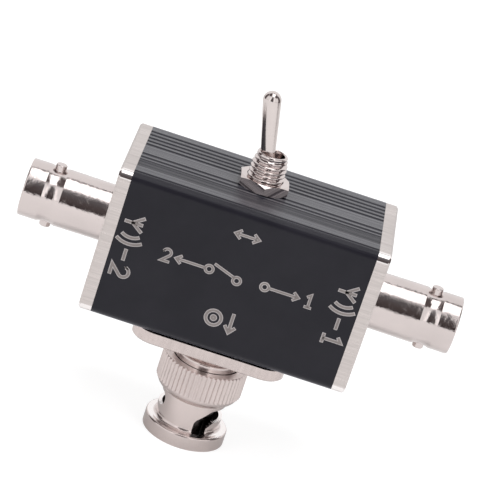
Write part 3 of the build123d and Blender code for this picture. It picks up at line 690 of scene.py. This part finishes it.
def digit_two():
    """Numeral two in a unit box two thirds as wide as high."""
    bowl = arc(Vector((0.33, 0.69)), 0.27, radians(165), radians(-200))
    return [(bowl + [Vector((0.06, 0.05)), Vector((0.64, 0.05))], False)]


def moved_strokes(strokes, size, origin, reading, up):
    """Strokes scaled and turned: their X becomes the reading direction, and their Y goes up."""
    reading, up, origin = Vector(reading), Vector(up), Vector(origin)
    return [([origin + size * (p.x * reading + p.y * up) for p in points], closed)
            for points, closed in strokes]


PORT_MARK_HEIGHT = 3.2
PORT_MARK_TOP = 39.0
PORT_MARK_PLACES = {"left": (-19.3, digit_two()), "right": (16.05, digit_one())}
SWITCH_MARK_ROW = 34.2
SWITCH_MARK_RING = 0.62
SWITCH_MARK_LEFT = -4.3
SWITCH_MARK_RIGHT = 4.9
SWITCH_MARK_PIVOT = (0.4, SWITCH_MARK_ROW - 0.5)
SWITCH_DIGIT_HEIGHT = 2.3
SWITCH_DIGIT_FOOT = 33.05
SWITCH_ARROW_HEAD = 0.9
PLUG_MARK_MIDDLE = (-1.25, 26.5)
PLUG_ARROW_X = 1.7
PLUG_ARROW_HEAD = 1.1
TOGGLE_MARK_ROW = 41.4
TOGGLE_ARROW_HEAD = 0.95
RIGHTWARD, LEFTWARD, UPWARD, DOWNWARD = (1, 0), (-1, 0), (0, 1), (0, -1)


def port_strokes(digit):
    """Antenna, waves, a dash and a numeral, in units of their height."""
    antenna = [line((0.42, 0.0), (0.42, 0.95)), line((0.02, 0.97), (0.42, 0.42), (0.82, 0.97))]
    waves = [(arc(Vector((0.42, 0.5)), radius, radians(-35), radians(70)), False)
             for radius in (0.8, 1.15)]
    dash = [line((1.85, 0.5), (2.5, 0.5))]
    return antenna + waves + dash + moved_strokes(digit, 1.0, (2.75, 0), RIGHTWARD, UPWARD)


def switch_digit(digit, x):
    """Numeral at one end of the switch mark, with its left edge at x."""
    return moved_strokes(digit, SWITCH_DIGIT_HEIGHT, (x, SWITCH_DIGIT_FOOT), RIGHTWARD, UPWARD)


def make_front_marks():
    """Plain symbols and numerals on the housing's front."""
    for side, (x, digit) in PORT_MARK_PLACES.items():
        port = moved_strokes(port_strokes(digit), PORT_MARK_HEIGHT, (x, PORT_MARK_TOP),
                             DOWNWARD, RIGHTWARD)
        make_marks("port_mark_" + side, port, WIDE_STROKE)
    row, ring = SWITCH_MARK_ROW, SWITCH_MARK_RING
    left, right = SWITCH_MARK_LEFT, SWITCH_MARK_RIGHT
    switch = [
        *switch_digit(digit_two(), -12.1),
        line((-9.6, row), (left - ring, row)),
        arrow_head((-9.8, row), LEFTWARD, SWITCH_ARROW_HEAD),
        circle(left, row, ring), circle(right, row, ring), circle(*SWITCH_MARK_PIVOT, ring),
        line((-0.15, row - 0.1), (-3.7, row + 1.15)),
        line((right + ring, row), (10.3, row)),
        arrow_head((10.5, row), RIGHTWARD, SWITCH_ARROW_HEAD),
        *switch_digit(digit_one(), 11.5),
    ]
    make_marks("switch_mark", switch, FINE_STROKE)
    plug = [
        circle(*PLUG_MARK_MIDDLE, 1.25), circle(*PLUG_MARK_MIDDLE, 0.28),
        line((PLUG_ARROW_X, 28.2), (PLUG_ARROW_X, 25.1)),
        arrow_head((PLUG_ARROW_X, 24.8), DOWNWARD, PLUG_ARROW_HEAD),
    ]
    make_marks("plug_mark", plug, WIDE_STROKE)
    row = TOGGLE_MARK_ROW
    toggle = [
        line((-1.7, row), (1.4, row)),
        arrow_head((-2.1, row), LEFTWARD, TOGGLE_ARROW_HEAD),
        arrow_head((1.8, row), RIGHTWARD, TOGGLE_ARROW_HEAD),
    ]
    make_marks("toggle_mark", toggle, FINE_STROKE)


make_front_marks()


# ---------------------------------------------------------------- camera

CAMERA_AZIMUTH = radians(-1.16)
CAMERA_ELEVATION = radians(21.5)
CAMERA_ROLL = radians(18.51)
CAMERA_DISTANCE = 0.411
PIXELS_PER_MM = 6.157
IMAGE_PIXELS = 500
SENSOR_MM = 36.0
CLIP_START = 0.01
AIM_RIGHT = -1.491 * MM
AIM_DOWN = 0.964 * MM


def make_camera():
    """Camera at the photograph's viewing angle."""
    back = Vector((
        sin(CAMERA_AZIMUTH) * cos(CAMERA_ELEVATION),
        -cos(CAMERA_AZIMUTH) * cos(CAMERA_ELEVATION),
        sin(CAMERA_ELEVATION),
    ))
    level_right = Vector((cos(CAMERA_AZIMUTH), sin(CAMERA_AZIMUTH), 0))
    level_up = back.cross(level_right)
    right = cos(CAMERA_ROLL) * level_right + sin(CAMERA_ROLL) * level_up
    up = cos(CAMERA_ROLL) * level_up - sin(CAMERA_ROLL) * level_right
    place = housing_middle + CAMERA_DISTANCE * back - AIM_RIGHT * right + AIM_DOWN * up
    data = bpy.data.cameras.new("camera")
    data.sensor_width = SENSOR_MM
    focal_pixels = PIXELS_PER_MM * CAMERA_DISTANCE / MM
    data.lens = focal_pixels / IMAGE_PIXELS * SENSOR_MM
    data.clip_start = CLIP_START
    camera = add_object("camera", data)
    turn = Matrix((right, up, back)).transposed().to_4x4()
    camera.matrix_world = Matrix.Translation(place) @ turn
    bpy.context.scene.camera = camera


make_camera()


# ---------------------------------------------------------------- studio


def light_path_weight(nodes, links, names):
    """Sum of the named Light Path outputs."""
    path = nodes.new("ShaderNodeLightPath")
    total = path.outputs[names[0]]
    for name in names[1:]:
        add = nodes.new("ShaderNodeMath")
        add.operation = "ADD"
        add.use_clamp = True
        links.new(total, add.inputs[0])
        links.new(path.outputs[name], add.inputs[1])
        total = add.outputs[0]
    return total


MIRROR_RAYS = ["Is Glossy Ray", "Is Transmission Ray"]
AMBIENT_STRENGTH = 0.45


def make_world():
    """White to the camera and in reflections, and a soft fill for everything else."""
    world = bpy.data.worlds.new("studio_world")
    world.use_nodes = True
    bpy.context.scene.world = world
    nodes, links = world.node_tree.nodes, world.node_tree.links
    seen = light_path_weight(nodes, links, ["Is Camera Ray", *MIRROR_RAYS])
    strength = nodes.new("ShaderNodeMapRange")
    links.new(seen, strength.inputs["Value"])
    strength.inputs["To Min"].default_value = AMBIENT_STRENGTH
    strength.inputs["To Max"].default_value = 1.0
    links.new(strength.outputs["Result"], nodes["Background"].inputs["Strength"])
    nodes["Background"].inputs["Color"].default_value = (1, 1, 1, 1)


def staged_material(name):
    """New material for the studio, with an empty surface."""
    material = bpy.data.materials.new(name)
    material.use_nodes = True
    nodes, links = material.node_tree.nodes, material.node_tree.links
    nodes.remove(nodes["Principled BSDF"])
    return material, nodes, links


def flat_sheet(name, corners, material):
    """Flat sheet between corner points."""
    mesh = bpy.data.meshes.new(name)
    mesh.from_pydata(corners, [], [tuple(range(len(corners)))])
    mesh.materials.append(material)
    return add_object(name, mesh)


DIRECT_FLOOR = (0.3, 0.8)
MIRRORED_FLOOR = (0.64, 0.16)
FLOOR_HALF = 3.0
FLOOR_GAP = 0.02 * MM


def make_floor():
    """Plain pale floor that keeps the object's shadow; each look is a grey paint and a glow."""
    material, nodes, links = staged_material("studio_floor")
    choose = nodes.new("ShaderNodeMixShader")
    seen = light_path_weight(nodes, links, MIRROR_RAYS)
    links.new(seen, choose.inputs[0])
    for target, (grey, strength) in zip(choose.inputs[1:], (DIRECT_FLOOR, MIRRORED_FLOOR)):
        paint = nodes.new("ShaderNodeBsdfDiffuse")
        paint.inputs["Color"].default_value = (grey, grey, grey, 1)
        glow = nodes.new("ShaderNodeEmission")
        glow.inputs["Strength"].default_value = strength
        lit = nodes.new("ShaderNodeAddShader")
        links.new(paint.outputs[0], lit.inputs[0])
        links.new(glow.outputs[0], lit.inputs[1])
        links.new(lit.outputs[0], target)
    links.new(choose.outputs[0], nodes["Material Output"].inputs["Surface"])
    half = FLOOR_HALF
    z = cad_box[0][2] - FLOOR_GAP
    corners = [(-half, -half, z), (half, -half, z), (half, half, z), (-half, half, z)]
    floor = flat_sheet("studio_floor", corners, material)


def make_card(name, corners, *shades):
    """Studio card that only reflections see; its (height in m, colour) shades run upwards."""
    material, nodes, links = staged_material(name)
    glow = nodes.new("ShaderNodeEmission")
    glow.inputs["Color"].default_value = (*shades[0][1], 1)
    place = nodes.new("ShaderNodeSeparateXYZ")
    links.new(nodes.new("ShaderNodeTexCoord").outputs["Object"], place.inputs[0])
    for (low, _), (high, color) in zip(shades, shades[1:]):
        rise = nodes.new("ShaderNodeMapRange")
        rise.interpolation_type = "SMOOTHSTEP"
        rise.inputs["From Min"].default_value = low
        rise.inputs["From Max"].default_value = high
        links.new(place.outputs["Z"], rise.inputs["Value"])
        mix = nodes.new("ShaderNodeMix")
        mix.data_type = "RGBA"
        links.new(rise.outputs["Result"], mix.inputs["Factor"])
        before = glow.inputs["Color"]
        if before.is_linked:
            links.new(before.links[0].from_socket, mix.inputs[6])
        else:
            mix.inputs[6].default_value = before.default_value
        mix.inputs[7].default_value = (*color, 1)
        links.new(mix.outputs[2], before)
    links.new(glow.outputs[0], nodes["Material Output"].inputs["Surface"])
    card = flat_sheet(name, corners, material)
    card.visible_camera = False
    card.visible_diffuse = False
    card.visible_shadow = False
    card.visible_transmission = False


LAMP_DISTANCE = 1.2
LAMP_SIZE = 0.6


def make_lamp(name, azimuth, elevation, power):
    """Soft area lamp that looks at the housing; degrees from the front and above the horizon."""
    data = bpy.data.lights.new(name, "AREA")
    data.shape = "RECTANGLE"
    data.size = data.size_y = LAMP_SIZE
    data.energy = power
    lamp = add_object(name, data)
    turn, rise = radians(azimuth), radians(elevation)
    away = LAMP_DISTANCE * Vector((sin(turn) * cos(rise), -cos(turn) * cos(rise), sin(rise)))
    lamp.location = housing_middle + away
    lamp.rotation_euler = (-away).to_track_quat("-Z", "Y").to_euler()
    lamp.visible_glossy = False


make_world()
make_floor()
make_lamp("key_lamp", 0, 80, 9.0)
make_lamp("left_lamp", -50, 30, 5.0)
make_lamp("right_lamp", 50, 30, 5.0)

FLAG_DISTANCE = 1.0
FLAG_LOW_HALF = 0.33
FLAG_HIGH_HALF = 0.2
FLAG_TOP = 1.6
FLAG_SHADES = (
    (0.1, (0.06, 0.05, 0.05)),
    (0.35, (0.09, 0.076, 0.076)),
    (1.0, (0.13, 0.125, 0.13)),
    (1.6, (0.42, 0.42, 0.43)),
)
flag_y = housing_middle.y - FLAG_DISTANCE
flag_bottom = housing_middle.z
make_card("front_flag", [
    (-FLAG_LOW_HALF, flag_y, flag_bottom),
    (FLAG_LOW_HALF, flag_y, flag_bottom),
    (FLAG_HIGH_HALF, flag_y, flag_bottom + FLAG_TOP),
    (-FLAG_HIGH_HALF, flag_y, flag_bottom + FLAG_TOP),
], *FLAG_SHADES)

GLOW_CARD_INNER = 0.36
GLOW_CARD_OUTER = 0.58
GLOW_CARD_TOP = 1.1
GLOW_CARD_COLOR = (1.4, 1.4, 1.4)
glow_top = flag_bottom + GLOW_CARD_TOP
for side, sign in SIDES.items():
    inner, outer = sign * GLOW_CARD_INNER, sign * GLOW_CARD_OUTER
    make_card("front_glow_" + side, [
        (inner, flag_y, flag_bottom), (outer, flag_y, flag_bottom),
        (outer, flag_y, glow_top), (inner, flag_y, glow_top),
    ], (flag_bottom, GLOW_CARD_COLOR))

PANEL_HEIGHT = 1.2
PANEL_FRONT = -28.0
PANEL_BACK = 13.5
PANEL_COLOR = (2.2, 2.2, 2.2)
SIDE_FLAG_COLOR = (0.12, 0.1, 0.1)
RAIL_COLOR = (0.03, 0.03, 0.03)


def make_overhead(name, left, right, front, back, color):
    """Level card overhead, with its edges in degrees off the vertical to the right and back."""
    x0, x1, y0, y1 = (PANEL_HEIGHT * tan(radians(angle)) for angle in (left, right, front, back))
    z = housing_middle.z + PANEL_HEIGHT
    y0, y1 = housing_middle.y + y0, housing_middle.y + y1
    make_card(name, [(x0, y0, z), (x1, y0, z), (x1, y1, z), (x0, y1, z)], (z, color))


make_overhead("top_panel", -12.5, 18.0, PANEL_FRONT, PANEL_BACK, PANEL_COLOR)
make_overhead("top_flag_left", -45.0, -12.6, PANEL_FRONT, PANEL_BACK, SIDE_FLAG_COLOR)
make_overhead("top_flag_right", 18.1, 48.0, PANEL_FRONT, PANEL_BACK, SIDE_FLAG_COLOR)
make_overhead("top_rail", -45.0, 48.0, 15.4, 20.6, RAIL_COLOR)

SIDE_FLAG_DISTANCE = 0.42
SIDE_FLAG_FRONT = -0.05
SIDE_FLAG_BACK = 0.22
SIDE_FLAG_TOP = 0.45
side_flag_bottom = cad_box[0][2]
for side, sign in SIDES.items():
    x = sign * SIDE_FLAG_DISTANCE
    make_card("side_flag_" + side, [
        (x, SIDE_FLAG_FRONT, side_flag_bottom), (x, SIDE_FLAG_BACK, side_flag_bottom),
        (x, SIDE_FLAG_BACK, SIDE_FLAG_TOP), (x, SIDE_FLAG_FRONT, SIDE_FLAG_TOP),
    ], (side_flag_bottom, SIDE_FLAG_COLOR))
